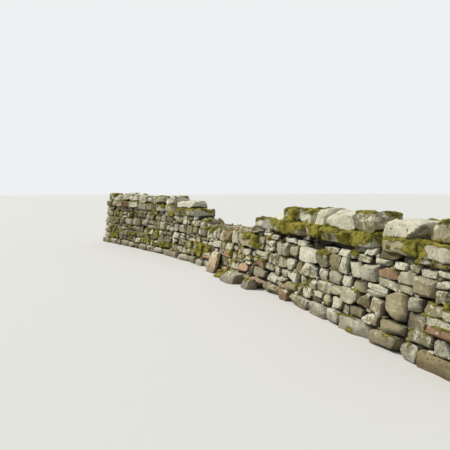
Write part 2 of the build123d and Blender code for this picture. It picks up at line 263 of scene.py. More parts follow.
def block_grid(counts):
    """The skin of a cube from -1 to 1, with this many strips along each axis. Strip edges lie at the
    sine of even steps through half a turn, so the strips narrow towards the arrises."""
    lattice = np.stack(np.meshgrid(*[np.arange(n + 1) for n in counts], indexing="ij"), -1)
    on_skin = ((lattice == 0) | (lattice == counts)).any(-1)
    number = np.full(on_skin.shape, -1)
    number[on_skin] = np.arange(on_skin.sum())
    skin = np.sin((lattice[on_skin] / counts - 0.5) * np.pi)
    quads = []
    for axis in range(3):
        for side in (0, -1):
            sheet = np.take(number, side, axis)
            ring = [sheet[:-1, :-1], sheet[1:, :-1], sheet[1:, 1:], sheet[:-1, 1:]]
            outward = (side == -1) != (axis == 1)
            quads.append(np.stack(ring if outward else ring[::-1], -1).reshape(-1, 4))
    return skin, np.concatenate(quads)


def rough_blocks(skin, number, rng, roundness, chips, chip_depth, upright=1.0):
    """Blocks in a cube from -1 to 1. A point of the skin is divided by the root of the sum of its
    coordinates' powers, and a lower power rounds more. Then planes cut it: points beyond one are moved
    back on to it. A normal whose coordinates are raised to a power turns towards one side of the
    block and splits off a flake there, where others knock off a corner. Flat stones are given planes
    that stand more upright."""
    power = rng.uniform(*roundness, (number, 1))
    length = (np.abs(skin) ** power[:, :, None]).sum(-1) ** (1 / power)
    points = skin / length[..., None]
    for _ in range(chips):
        normal = rng.normal(size=(number, 3)) * (1, 1, upright)
        normal *= np.abs(normal) ** rng.uniform(0.0, FLAKE_POWER, (number, 1))
        normal /= np.linalg.norm(normal, axis=1, keepdims=True)
        height = np.einsum("nvc,nc->nv", points, normal)
        highest = height.max(1, keepdims=True)
        limit = highest - rng.uniform(0, chip_depth, (number, 1)) * (highest - DEEPEST_CUT)
        points -= np.maximum(height - limit, 0)[..., None] * normal[:, None]
    return points


def into_cells(local, cells):
    """Stretches each block into its cell: along each axis a coordinate from -1 to 1 weighs the two
    ends of the cell, and the eight corners are added up by the products of their weights."""
    share = (local + 1) / 2
    weight = np.stack([1 - share, share], -1)
    along, across, up = weight[:, :, 0], weight[:, :, 1], weight[:, :, 2]
    return np.einsum("nvi,nvj,nvk,nijkc->nvc", along, across, up, cells, optimize=True)


def roughened(points, rng, sizes=STONE_LUMPS):
    """Adds noise to every coordinate, once for each pair of a size of lump and its height. Each stone
    reads the noise at a place of its own."""
    place = points + rng.uniform(0, NOISE_REACH, (len(points), 1, 3))
    for cell, height in sizes:
        points = points + height * np.stack([noise(place, cell, seed) for seed in (1, 2, 3)], -1)
    return points


print("A block with few faces has", 2 * len(block_grid((3, 3, 3))[1]), "triangles")

# %% [markdown]
# The rest of the recipe is the same for every layer: join the stones of one bay into one
# mesh, let moss grow where it would, and hide the plain solid that the piece stands for.
# Moss likes tops, damp and company, so its strength adds up from how far a surface looks
# up, noise, and how mossy that stretch of wall is. It is kept as a number on each point,
# beside the stone's tint, its shade, its lichen crust and how open and lit it lies. Tops
# are crusted most, partly lichen, partly painted light; joint sides get dirt and painted
# shade, undersides painted shade. The finish reads these, and moss swells the surface.

# %% From stones to a piece
MOSS_PATCHES = ((0.50, 0.24, 11), (0.36, 0.09, 12), (0.2, 0.04, 15))  # layers of noise
MOSS_LIKES_TOPS = 0.5
MOSS_FROM = 0.45
MOSS_FULL = 0.90
MOSS_CUSHION = 0.030
CUSHION_MEAN = 0.75
CUSHION_LUMPS = ((0.55, 0.07, 13), (0.35, 0.03, 14))
# Upward faces get more crust: partly lichen, partly painted light on the tops
CRUST_AND_PAINTED_LIGHT_ON_TOP = 0.25
# Undersides are darkened with the joint colour, as painted shade beneath the stones
PAINTED_SHADE_BENEATH = 0.75
BENEATH = (0.2, 0.8)  # how far down a surface looks where the dark starts, and where it is full
SHARP_FROM = math.radians(32)


def moss_on(points, normals, mossiness):
    """How much moss covers each point, from 0 to 1: the stone's mossiness plus shares of the upward
    part of the normal and of three sizes of noise, taken through a smooth rise."""
    patch = layered_noise(points, MOSS_PATCHES)
    return steps(mossiness + MOSS_LIKES_TOPS * normals[..., 2] + patch, MOSS_FROM, MOSS_FULL)


def lay(name, nodes, slot, points, quads, facts):
    """Joins stones, given as an array of stones by points, into one piece on the wall's body. The
    facts are arrays with a number for each stone or for each of its points."""
    count, per_stone = points.shape[:2]
    faces = (quads + np.arange(count)[:, None, None] * per_stone).reshape(-1, 4)
    mesh = bpy.data.meshes.new(name)
    mesh.from_pydata(points.reshape(-1, 3).tolist(), [], faces.tolist())
    normals = np.empty(points.size)
    mesh.vertices.foreach_get("normal", normals)
    normals = normals.reshape(points.shape)
    moss = moss_on(points, normals, facts["mossiness"])
    cushion = MOSS_CUSHION * moss * layered_noise(points, CUSHION_LUMPS, CUSHION_MEAN)
    swollen = points + cushion[..., None] * normals
    swollen[..., 2] = np.maximum(swollen[..., 2], 0)
    mesh.vertices.foreach_set("co", swollen.ravel())
    mesh.update()
    mesh.set_sharp_from_angle(angle=SHARP_FROM)
    upward = normals[..., 2]
    weathered = facts | {
        "moss": moss,
        # Paler tops: partly lichen, partly painted light
        "crust": facts["crust"] + CRUST_AND_PAINTED_LIGHT_ON_TOP * upward,
        # Undersides lower this value as painted shade; in joints it stands for dirt and painted shade
        "open": facts["open"] * (1 - PAINTED_SHADE_BENEATH * steps(-upward, *BENEATH)),
    }
    for kind in ("tint", "shade", "crust", "open", "moss"):
        values = np.broadcast_to(weathered[kind], moss.shape)
        attribute = mesh.attributes.new(kind, "FLOAT", "POINT")
        attribute.data.foreach_set("value", values.astype(np.float32).ravel())
    piece = bpy.data.objects.new(name, mesh)
    bpy.context.scene.collection.objects.link(piece)
    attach(piece, "root")
    if nodes:
        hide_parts(*nodes)
    mesh.materials.append(FINISHES[slot])
    print(f"{name}: {count} stones, {2 * len(faces)} triangles")


highest_cushion = MOSS_CUSHION * (CUSHION_MEAN + sum(layer[0] for layer in CUSHION_LUMPS))
print("Moss is at most", round(1000 * highest_cushion), "mm high")

# %% [markdown]
# Shader maths reads best as plain sums, so one small class stands for a socket. Adding,
# subtracting or multiplying two of them adds the Math node that does it. Colours are
# mixed by a Mix node, because a Math node would turn them grey.

# %% Shader sums


class Wire:
    """A socket of the node tree that is being written. Its operators add Math nodes."""

    tree = None

    def __init__(self, socket):
        self.socket = socket

    @classmethod
    def node(cls, kind, settings, sockets, output=0):
        """Adds a node of this type: first its settings, then the values or links of its sockets."""
        made = cls.tree.nodes.new("ShaderNode" + kind)
        for name, value in settings.items():
            if name == "stops":
                ramp = made.color_ramp.elements
                ramp[0].position, ramp[0].color = value[0][0], (*value[0][1], 1)
                ramp[1].position, ramp[1].color = value[-1][0], (*value[-1][1], 1)
                for place, colour in value[1:-1]:
                    ramp.new(place).color = (*colour, 1)
            else:
                setattr(made, name, value)
        for name, value in sockets.items():
            if isinstance(value, Wire):
                cls.tree.links.new(value.socket, made.inputs[name])
            else:
                made.inputs[name].default_value = value
        return cls(made.outputs[output]) if made.outputs else made

    def sum(self, operation, first, second):
        """A Math node that works this out from two values or sockets."""
        return self.node("Math", {"operation": operation}, {0: first, 1: second})

    def __add__(self, other):
        return self.sum("ADD", self, other)

    def __sub__(self, other):
        return self.sum("SUBTRACT", self, other)

    def __rsub__(self, other):
        return self.sum("SUBTRACT", other, self)

    def __mul__(self, other):
        return self.sum("MULTIPLY", self, other)

    __radd__ = __add__
    __rmul__ = __mul__


def rise(value, low, high):
    """0 below the low edge, 1 above the high one, and smooth between."""
    edges = {"Value": value, "From Min": low, "From Max": high}
    return Wire.node("MapRange", {"interpolation_type": "SMOOTHSTEP"}, edges)


def mottle(place, scale, detail, roughness):
    """Noise from 0 to 1 with this many lumps a metre."""
    sockets = {"Vector": place, "Scale": scale, "Detail": detail, "Roughness": roughness}
    return Wire.node("TexNoise", {}, sockets)


def mix(share, first, second, blend="MIX"):
    """A colour: the first, with this share of the second, or of their product, laid over it."""
    settings = {"data_type": "RGBA", "blend_type": blend}
    return Wire.node("Mix", settings, {0: share, 6: first, 7: second}, output=2)


def fact(kind):
    """One of the numbers that lay() keeps on each point."""
    return Wire.node("Attribute", {"attribute_name": kind}, {}, output="Fac")


def new_finish(name):
    """A material with an empty tree, which is the one that is written next."""
    material = bpy.data.materials.new(name)
    material.use_nodes = True
    material.node_tree.nodes.clear()
    Wire.tree = material.node_tree
    return material


def end_finish(surface):
    """The last two nodes of a material's tree, from the sockets of its surface."""
    Wire.node("OutputMaterial", {}, {"Surface": Wire.node("BsdfPrincipled", {}, surface)})


# %% [markdown]
# The stone is a sandstone that has stood in the weather for a century or more. Under it
# all lies the stone's own tint, buff and brown, cream, grey, and a few pinkish orange
# ones, with faint bedding. Over that come dark stains and a green film, a crust of pale
# lichen with small round spots, pits, joint dirt with painted shade, soil at the foot, and moss.
# Each layer is one mask and one colour. The masks are sums of mottles, which is noise
# from 0 to 1 on Object coordinates, so nothing slides or stretches.

# %% Colours and mottles of the stone

# Ramps, as places from 0 to 1 and their colours
STONE_TINTS = (
    (0.00, (0.150, 0.110, 0.055)),
    (0.25, (0.300, 0.245, 0.125)),
    (0.50, (0.460, 0.400, 0.240)),
    (0.75, (0.600, 0.560, 0.410)),
    (0.88, (0.320, 0.305, 0.220)),
    (0.91, (0.600, 0.370, 0.200)),
    (1.00, (0.520, 0.310, 0.180)),
)
MOSS_TINTS = (
    (0.28, (0.018, 0.021, 0.004)),
    (0.41, (0.080, 0.080, 0.010)),
    (0.49, (0.220, 0.200, 0.020)),
    (0.59, (0.480, 0.420, 0.080)),
    (0.70, (0.300, 0.170, 0.035)),
)
LICHEN_TINTS = (
    (0.36, (0.400, 0.380, 0.250)),
    (0.50, (0.780, 0.755, 0.580)),
    (0.64, (0.930, 0.915, 0.770)),
)
# Colours of the layers
SPOT = (0.820, 0.810, 0.700, 1)
STAIN = (0.110, 0.105, 0.070, 1)
PIT = (0.060, 0.052, 0.036, 1)
GREEN_FILM = (0.230, 0.240, 0.080, 1)
# The dark of the joints: dirt together with painted shade, also laid under the stones
JOINT_DIRT_AND_SHADE = (0.020, 0.017, 0.011, 1)
SOIL = (0.130, 0.095, 0.055, 1)

# How much of its colour a full mask lays on
STAIN_SHARE = 0.55
PIT_SHARE = 0.8
# Share of the joint colour, which paints dirt and shade in joints and under stones
DIRT_AND_SHADE_SHARE = 0.93
SOIL_SHARE = 0.6

# The mottles that masks are made of: lumps a metre, detail and roughness
BROAD = (3.0, 4.0, 0.55)
MIDDLE = (17.0, 9.0, 0.66)
FINE = (80.0, 5.0, 0.70)
GRIT = (320.0, 2.0, 0.55)
STAINS = (8.0, 9.0, 0.72)
PITS = (34.0, 6.0, 0.68)
TUFTS = (11.0, 9.0, 0.72)
PILE = (120.0, 4.0, 0.80)
BEDS = (1.0, 4.0, 0.55)
BED_STRETCH = (3.0, 3.0, 36.0)
SPOTS_A_METRE = 42.0
FLAKES_A_METRE = 15.0

# Where each mask starts and where it is full
STAIN_EDGES = (0.53, 0.66)
FILM_EDGES = (0.50, 0.72)
CRUST_EDGES = (0.49, 0.57)
SPOT_EDGES = (0.10, 0.20)  # from the middle of a spot outwards, where it ends
SPOTTED_EDGES = (0.48, 0.60)  # of the regions that have spots
PIT_EDGES = (0.58, 0.68)
MOSS_EDGES = (0.30, 0.46)

print("Tints of stone, moss and lichen:", len(STONE_TINTS), len(MOSS_TINTS), len(LICHEN_TINTS))

# %% [markdown]
# All layers could be painted on one picture that is wrapped round the wall. A node tree
# needs no picture and is as sharp in a close view. It mixes the layers in the order in
# which they grew, and the same masks add up to a relief, so that what looks pitted is
# pitted and moss is raised. Six finishes differ only in how weathered they are.

# %% Stone finish
MIDPOINT = 0.5  # that the mottles and the crust swing about
BUMP_HEIGHT = 0.014
ROUGHNESS = 0.80
MOSS_ROUGHER = 0.18

# The shares of lichen and green film on each finish, and how high soil reaches
WEATHERING = {
    "face_stone": (0.85, 0.40, 0.22),
    "footing_stone": (0.80, 0.45, 0.22),
    "hearting_stone": (0.30, 0.30, 0.20),
    "through_stone": (0.60, 0.40, 0.20),
    "cover_stone": (0.70, 0.60, 0.20),
    "cope_stone": (0.95, 0.40, 0.20),
}


def stone_finish(slot, lichen_share, film_share, soil_height):
    """The weathered stone. Each layer's mask is a smooth rise through a sum of mottles and of the
    numbers kept on the points, each times a weight."""
    material = new_finish(slot)
    place = Wire.node("TexCoord", {}, {}, output="Object")
    height = Wire.node("SeparateXYZ", {}, {0: place}, output="Z")
    broad = mottle(place, *BROAD)
    middle = mottle(place, *MIDDLE)
    fine = mottle(place, *FINE)
    grit = mottle(place, *GRIT)
    beds = mottle(Wire.node("Mapping", {}, {"Vector": place, "Scale": BED_STRETCH}), *BEDS)
    crust, moss = fact("crust"), fact("moss")

    tint = fact("tint") + 0.16 * (middle - MIDPOINT) + 0.18 * (beds - MIDPOINT)
    colour = Wire.node("ValToRGB", {"stops": STONE_TINTS}, {0: tint})
    light = 1 + 0.5 * (broad - MIDPOINT) + 1.3 * (fine - MIDPOINT) + 0.7 * (beds - MIDPOINT)
    colour = mix(1.0, colour, fact("shade") * light, "MULTIPLY")
    stained = rise(mottle(place, *STAINS), *STAIN_EDGES)
    colour = mix(stained * STAIN_SHARE, colour, STAIN)
    film = rise(broad + 0.4 * (fine - MIDPOINT), *FILM_EDGES) * film_share
    colour = mix(film, colour, GREEN_FILM)
    crusted = rise(middle + 0.35 * (fine - MIDPOINT) + 0.34 * (crust - MIDPOINT), *CRUST_EDGES)
    lichen_colour = Wire.node("ValToRGB", {"stops": LICHEN_TINTS}, {0: fine + 0.5 * (broad - MIDPOINT)})
    colour = mix(crusted * lichen_share, colour, lichen_colour)
    around = Wire.node("TexVoronoi", {"feature": "F1"}, {"Vector": place, "Scale": SPOTS_A_METRE})
    spots = 1 - rise(around + 0.9 * (fine - MIDPOINT), *SPOT_EDGES)
    spots = spots * rise(broad + 0.5 * (crust - MIDPOINT), *SPOTTED_EDGES)
    colour = mix(spots * lichen_share, colour, SPOT)
    pits = rise(mottle(place, *PITS), *PIT_EDGES)
    colour = mix(pits * PIT_SHARE, colour, PIT)
    soiled = 1 - rise(height + 0.2 * (middle - MIDPOINT), 0.0, soil_height)
    colour = mix(soiled * SOIL_SHARE, colour, SOIL)
    # Joint sides and undersides darkened: partly dirt, partly painted shade
    colour = mix((1 - fact("open")) * DIRT_AND_SHADE_SHARE, colour, JOINT_DIRT_AND_SHADE)
    tuft = mottle(place, *TUFTS)
    pile = mottle(place, *PILE)
    mossy = rise(moss + 0.9 * (fine - MIDPOINT) + 0.5 * (middle - MIDPOINT), *MOSS_EDGES)
    moss_colour = Wire.node("ValToRGB", {"stops": MOSS_TINTS}, {0: tuft + 0.9 * (pile - MIDPOINT)})
    colour = mix(mossy, colour, moss_colour)

    cell_sockets = {"Vector": place, "Scale": FLAKES_A_METRE, "Detail": 2.0}
    flakes = Wire.node("TexVoronoi", {"feature": "F1"}, cell_sockets)
    relief = 0.45 * middle + 0.4 * fine + 0.12 * grit + 0.35 * beds + 0.25 * flakes - 0.4 * pits
    relief = relief + 0.1 * crusted + mossy * (0.6 * tuft + 0.7 * pile)
    bump = Wire.node("Bump", {}, {"Strength": 1.0, "Distance": BUMP_HEIGHT, "Height": relief})
    surface = {
        "Base Color": colour,
        "Roughness": ROUGHNESS + MOSS_ROUGHER * mossy,
        "Specular IOR Level": 0.25,
        "Normal": bump,
    }
    end_finish(surface)
    return material


FINISHES = {slot: stone_finish(slot, *weathered) for slot, weathered in WEATHERING.items()}
print("Finishes:", *FINISHES)

# %% [markdown]
# Before a stone is laid, its colour, crust and mossiness are drawn. They depend on where
# it lies: a run of pinkish orange stones shows low down beside the breach, and moss is
# thickest on the cover band of the last two bays and beside the breach.

# %% Facts of each stone
PINK_RUN = (5.9, 8.3)
PINK_BELOW = 0.46
PINK_SHARE = 0.42
PINK_SHARE_ELSEWHERE = 0.02
PINK_TINTS = (0.95, 1.0)
PINK_CRUST = 0.3
OTHER_TINTS_TO = 0.84
TINTS_LEAN = (1.8, 1.4)  # the two powers of the beta distribution that they are drawn from
SHADES = (0.62, 1.15)
MEAN_CRUST = 0.55
CRUST_SPREAD = 0.32
MOSS_SPREAD = 0.22


def drawn_facts(cells, rng, moss_from, crust_more=0.0):
    """Tint, shade, crust, openness and mossiness of the stone in each cell, from random draws and its
    middle's place."""
    number = len(cells)
    middle = cells.mean((1, 2, 3))
    along, height = middle[:, 0], middle[:, 2]
    near_breach = (along > PINK_RUN[0]) & (along < PINK_RUN[1]) & (height < PINK_BELOW)
    pink = rng.random(number) < np.where(near_breach, PINK_SHARE, PINK_SHARE_ELSEWHERE)
    pinks = rng.uniform(*PINK_TINTS, number)
    facts = {
        "tint": np.where(pink, pinks, OTHER_TINTS_TO * rng.beta(*TINTS_LEAN, number)),
        "shade": rng.uniform(*SHADES, number),
        "crust": MEAN_CRUST + crust_more + CRUST_SPREAD * rng.normal(size=number),
        "open": np.ones(number),
        "mossiness": moss_from + MOSS_SPREAD * rng.normal(size=number),
    }
    facts["crust"][pink] = PINK_CRUST
    return {kind: values[:, None] for kind, values in facts.items()}


for name, values in drawn_facts(np.zeros((1000, 2, 2, 2, 3)), np.random.default_rng(0), 0.0).items():
    print(f"{name}: {values.min():.2f} to {values.max():.2f} in a thousand stones")

# %% [markdown]
# The faces are laid in courses, and the measured model has their main stones: they stand
# out of a backing with open joints between them. The outer side of each is read from the
# measured model. A stone's outer side is two triangles whose corners all lie near the
# battered face, and one of the two has both corners of the foot.

# %% Measured face stones
BASE_HALF_WIDTH = 0.34
BATTER = 1 / 7
FOOTING_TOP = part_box("footing_1")[1].z
BODY_TOPS = np.array([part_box(f"cover_band_{bay + 1}")[0].z for bay in range(BAYS)])
NEAR_FACE = 0.03
MEASURED_JOINT = 0.022
FRONT, BACK = -1, 1


def half_width(height):
    """Half the wall's width: it narrows by the batter for each unit of height."""
    return BASE_HALF_WIDTH - BATTER * (height - FOOTING_TOP)


def measured_stones(node, side):
    """Rows of a stone's two ends along the wall, its foot and head, and how far it stands out."""
    triangles = triangles_of(node)
    proud = side * triangles[..., 1] - half_width(triangles[..., 2])
    on_face = (np.abs(proud) < NEAR_FACE).all(1)
    triangles, proud = triangles[on_face], proud[on_face]
    along, height = triangles[..., 0], triangles[..., 2]
    foot, head = height.min(1), height.max(1)
    has_foot = (height < (foot + head)[:, None] / 2).sum(1) == 2
    rows = np.stack([along.min(1), along.max(1), foot, head, proud.mean(1)], -1)
    return rows[has_foot]


measured = {
    side: [measured_stones(f"{name}_face_{bay + 1}", side) for bay in range(BAYS)]
    for name, side in (("front", FRONT), ("back", BACK))
}
for side, bays in measured.items():
    print("Front:" if side == FRONT else "Back:", [len(rows) for rows in bays], "stones")

# %% [markdown]
# The measured stones are boxes, and the bays meet in upright joints. Two things hide that.
# Where a bay ends, neighbours trade a little length, a different way in each course. Then
# many of the stones are broken up: some of the thick ones into a pair of thin ones, and
# some of the long ones into two.

# %% Break up the stones
END_SHIFT = 0.07
SHIFT_SHARES = (0.3, 1.0)
SHORTEST = 0.20  # that gives or takes length at a bay's end
THIN_PAIR_SHARE = 0.30
THICK_FROM = 0.11
SPLIT_SHARE = 0.55
LONG_FROM = 0.33
BROKEN_AT_HEIGHT = (0.38, 0.62)  # shares of the stone
BROKEN_ALONG = (0.35, 0.65)
JOINT = 0.016


def traded(rows, rng):
    """Moves the upright joint between two stones that meet at a bay's end."""
    long_enough = rows[:, 1] - rows[:, 0] > SHORTEST
    middle = rows[:, 2:4].mean(1)
    for end in BAY_LENGTH * np.arange(1, BAYS):
        lefts = np.flatnonzero((np.abs(rows[:, 1] - end) < MEASURED_JOINT) & long_enough)
        rights = np.flatnonzero((np.abs(rows[:, 0] - end) < MEASURED_JOINT) & long_enough)
        for left in lefts:
            right = rights[np.abs(middle[rights] - middle[left]) < MEASURED_JOINT]
            if len(right) == 1:
                shift = rng.uniform(*SHIFT_SHARES) * END_SHIFT * rng.choice([-1, 1])
                rows[left, 1] += shift
                rows[right, 0] += shift
    return rows


def broken_up(rows, rng):
    """Splits some thick stones into pairs of thin ones, and some long ones into two."""
    left, right, foot, head, proud = rows.T
    draw = rng.random(len(rows))
    thin = (draw < THIN_PAIR_SHARE) & (head - foot > THICK_FROM)
    split = (draw > 1 - SPLIT_SHARE) & (right - left > LONG_FROM)
    across = foot + (head - foot) * rng.uniform(*BROKEN_AT_HEIGHT, len(rows))
    upright = left + (right - left) * rng.uniform(*BROKEN_ALONG, len(rows))
    lower = np.stack([left, right, foot, across - JOINT / 2, proud], -1)[thin]
    upper = np.stack([left, right, across + JOINT / 2, head, proud], -1)[thin]
    first = np.stack([left, upright - JOINT / 2, foot, head, proud], -1)[split]
    second = np.stack([upright + JOINT / 2, right, foot, head, proud], -1)[split]
    return np.concatenate([rows[~thin & ~split], lower, upper, first, second])


rows = np.concatenate(measured[FRONT])
trial = broken_up(rows, np.random.default_rng(0))
print("Front:", len(rows), "measured stones, and in a trial", len(trial), "once broken up")

# %% [markdown]
# No joint in such a face is straight: courses dip and rise, stones lean out or in, and the
# whole face bulges a little. Each stone could be moved by hand. Here its eight corners are
# moved by slow noise, which neighbours share and so stay beside each other, and by a
# little that is their own. The batter and the relief of the measured stones stay.

# %% Cells of the face stones
LEAF_AT_BASE = 0.23
LEAF_AT_TOP = 0.16
LEAF_SHARES = (0.92, 1.0)  # of a leaf, that stones reach in
SWELL = (0.004, 0.009)  # how far a stone reaches into the measured joints, along and up
WANDER = (0.012, 0.016)  # of joints, along and up
WANDER_LUMPS = (0.30, 0.55)
FACES_APART = 3  # in the noise, so that front and back differ
LEVEL_WITHIN = 0.14  # of the footing and of the slabs, joints wander up and down less
CORNER_OFF = 0.009
STONE_PROUD = 0.008  # spread of how far whole stones stand out more than the measured ones
CORNER_PROUD = 0.010  # and of each of their corners
BULGE = 0.010
BULGE_LUMP = 1.1
HOLLOW_RUN = (8.4, 10.4)  # along the wall, in front
HOLLOW_BELOW = 0.12
HOLLOW_SHARE = 0.5
HOLLOW_DEPTH = 0.07


def sunk_in(rows, rng):
    """Sets some stones of the top course back, under the mossy slabs, where the wall looks hollow."""
    middle, head = rows[:, :2].mean(1), rows[:, 3]
    under_slabs = head > BODY_TOPS[bay_of(middle)] - HOLLOW_BELOW
    chosen = under_slabs & (middle > HOLLOW_RUN[0]) & (middle < HOLLOW_RUN[1])
    chosen &= rng.random(len(rows)) < HOLLOW_SHARE
    rows[chosen, 4] -= HOLLOW_DEPTH
    return rows


def face_cells(rows, side, rng):
    """Cells from rows of stones. Joints wander by noise, less near the footing and the slabs. The
    outer corners lie on the battered face, pushed in or out by the measured stone, the stone's own
    draw, its tilt and a slow bulge of the wall, and the inner ones lie a leaf's depth in."""
    number = len(rows)
    ends = np.array([-1, 1])
    along = rows[:, :2, None] + SWELL[0] * ends[:, None] + np.zeros((number, 2, 2))
    height = rows[:, None, 2:4] + SWELL[1] * ends + np.zeros((number, 2, 2))
    top = BODY_TOPS[bay_of(rows[:, :2].mean(1))][:, None, None]
    free = steps(np.minimum(height - FOOTING_TOP, top - height), 0.0, LEVEL_WITHIN)
    place = np.stack([along, height, 0 * along + FACES_APART * side], -1)
    wander = WANDER[0] * noise(place, WANDER_LUMPS[0], seed=21)
    along += wander + rng.uniform(-CORNER_OFF, CORNER_OFF, along.shape)
    wander = WANDER[1] * noise(place, WANDER_LUMPS[1], seed=22)
    height += free * (wander + rng.uniform(-CORNER_OFF, CORNER_OFF, along.shape))
    proud = rows[:, 4, None, None] + rng.normal(0, STONE_PROUD, (number, 1, 1))
    bulge = BULGE * noise(place, BULGE_LUMP, seed=31)
    outer = half_width(height) + proud + rng.normal(0, CORNER_PROUD, along.shape) + bulge
    leaf = np.interp(height, (FOOTING_TOP, BODY_TOPS.min()), (LEAF_AT_BASE, LEAF_AT_TOP))
    inner = half_width(height) - leaf * rng.uniform(*LEAF_SHARES, (number, 1, 1))
    cells = np.empty((number, 2, 2, 2, 3))
    cells[..., 0] = along[:, :, None]
    cells[:, :, 0, :, 1], cells[:, :, 1, :, 1] = (-outer, -inner) if side == FRONT else (inner, outer)
    cells[..., 2] = height[:, :, None]
    return cells


print("A face leans in by", round(BATTER * (BODY_TOPS.max() - FOOTING_TOP), 3), "m")

# %% [markdown]
# Where the top fell, the courses end in steps that a builder would call racked back. The
# measured faces hold those steps as level ledges of their backing, which are read back.

# %% The breach
BREACH_BAYS = (2, 3)
BACKING_FROM = 0.06  # behind the face
NEARLY_LEVEL = 0.9


def ledges(side_name):
    """The level tops that the breach left in a face's backing, as height and reach along: in each
    of its bays the two highest below the top of the wall."""
    found = []
    for bay in BREACH_BAYS:
        triangles = triangles_of(f"{side_name}_face_{bay + 1}")
        depth = half_width(triangles[..., 2]) - np.abs(triangles[..., 1])
        normals = np.cross(triangles[:, 1] - triangles[:, 0], triangles[:, 2] - triangles[:, 0])
        level = normals[:, 2] > NEARLY_LEVEL * np.linalg.norm(normals, axis=1)
        tops = triangles[level & (depth > BACKING_FROM).all(1)]
        heights = np.unique(np.round(tops[..., 2].mean(1), 3))
        for height in heights[-2:-4:-1]:
            along = tops[np.abs(tops[..., 2].mean(1) - height) < JOINED_WITHIN, :, 0]
            found.append((height, along.min(), along.max()))
    return np.array(found)


for name in ("front", "back"):
    print(f"Ledges in the {name} face:", np.round(ledges(name), 2).tolist())

# %% [markdown]
# The open side of a stone is bleached and crusted, while its sides within the joints stay
# bare and are painted dark, partly as dirt and partly as painted shade. So each point is
# told how open and lit it lies, from how deep it is behind the wall's face. Stones whose
# top lies open at a ledge of the breach count as open all round.
# The left of the wall is mossier. Its stones carry painted tree shade: they are darker and
# less crusted, partly as lichen thins in shade and partly as painted shade.

# %% Lay both faces
FACE_MOSS = np.array([0.16, 0.16, 0.12, 0.10, 0.02, 0.02])
# Painted tree shade on the left bays: darker stones, and less pale crust
FACE_PAINTED_SHADE = np.array([0.72, 0.78, 0.92, 1.0, 1.0, 1.0])
FACE_CRUST_AND_PAINTED_SHADE = np.array([-0.40, -0.35, -0.05, 0.0, 0.0, 0.0])
LOW_MOSS = 0.22  # how much mossier the lowest stones are, left of the breach
LOW_MOSS_BELOW = 0.38
# Over these depths in a joint, painted shade and dirt darken a stone
DARK_FROM = 0.010  # depth in a joint at which a stone starts to darken
DARK_AT = 0.045


# How open and lit a point lies; low values get dirt and painted shade
def openness(wall, at_ledge):
    """1 at the face and 0 from a small depth behind it, with a smooth fall between, but 1 all over
    where the stone lies at a ledge."""
    depth = half_width(wall[..., 2]) - np.abs(wall[..., 1])
    return np.maximum(1 - steps(depth, DARK_FROM, DARK_AT), at_ledge[:, None])


def tops_a_ledge(cells, side_name):
    """Whether a stone's top is the ledge that it lies under."""
    middle = cells[..., 0].mean((1, 2, 3))
    head = cells[..., 1, 2].mean((1, 2))
    topped = np.zeros(len(cells), bool)
    for height, start, end in ledges(side_name):
        topped |= (np.abs(head - height) < 2 * MEASURED_JOINT) & (middle > start) & (middle < end)
    return topped


laid_cells = {}
skin, quads = block_grid((14, 5, 9))
for side_name, side, seed in (("front", FRONT, 1), ("back", BACK, 2)):
    rng = np.random.default_rng(seed)
    rows = broken_up(traded(np.concatenate(measured[side]), rng), rng)
    if side == FRONT:
        rows = sunk_in(rows, rng)
    cells = laid_cells[side] = face_cells(rows, side, rng)
    bays = bay_of(cells[..., 0].mean((1, 2, 3)))
    lowest = (cells[..., 2].mean((1, 2, 3)) < LOW_MOSS_BELOW) & (bays <= BREACH_BAYS[-1])
    facts = drawn_facts(cells, rng, FACE_MOSS[bays] + LOW_MOSS * lowest)
    # Painted tree shade: the left bays' stones are darker and less crusted
    facts["shade"] = facts["shade"] * FACE_PAINTED_SHADE[bays, None]
    facts["crust"] = facts["crust"] + FACE_CRUST_AND_PAINTED_SHADE[bays, None]
    local = rough_blocks(skin, len(cells), rng, roundness=(6.0, 20.0), chips=16, chip_depth=1.0)
    wall = into_cells(local, cells)
    facts["open"] = openness(wall, tops_a_ledge(cells, side_name))
    points = roughened(to_part(wall), rng)
    for bay in range(BAYS):
        own = bays == bay
        name = f"{side_name}_face_stones_{bay + 1}"
        nodes = [f"{side_name}_face_{bay + 1}"]
        own_facts = {kind: values[own] for kind, values in facts.items()}
        lay(name, nodes, "face_stone", points[own], quads, own_facts)

# %% [markdown]
# Gaps between rough stones are wedged with pinnings, small stones that are pushed in from
# the face. Each sits just behind the face at a corner of a bigger stone, where gaps are
# widest. There are hundreds of them, so each has only a few dozen faces.

# %% Pinnings
PINNINGS = 280  # in each face
PINNING_HALF_SIZES = ((0.016, 0.030, 0.010), (0.042, 0.050, 0.024))
PINNING_BEHIND = (0.016, 0.045)  # how far behind the face they end
PINNING_SKEW = 0.006
BOX_CORNERS = np.stack(np.meshgrid([-1, 1], [-1, 1], [-1, 1], indexing="ij"), -1)

skin, quads = block_grid((3, 3, 3))
for side_name, side in (("front", FRONT), ("back", BACK)):
    rng = np.random.default_rng(20 + side)
    cells = laid_cells[side]
    outer = 0 if side == FRONT else 1
    stone = rng.integers(len(cells), size=PINNINGS)
    corner = cells[stone, rng.integers(2, size=PINNINGS), outer, 0]
    half = rng.uniform(*PINNING_HALF_SIZES, (PINNINGS, 3))
    middle = corner - np.array([0, side, 0]) * (half + rng.uniform(*PINNING_BEHIND, (PINNINGS, 1)))
    pinnings = middle[:, None, None, None] + half[:, None, None, None] * BOX_CORNERS
    pinnings += rng.normal(0, PINNING_SKEW, pinnings.shape)
    facts = drawn_facts(pinnings, rng, moss_from=0.0)
    local = rough_blocks(skin, PINNINGS, rng, roundness=(4.0, 9.0), chips=5, chip_depth=0.8)
    points = to_part(into_cells(local, pinnings))
    lay(f"pinning_stones_{side_name}", [], "face_stone", points, quads, facts)

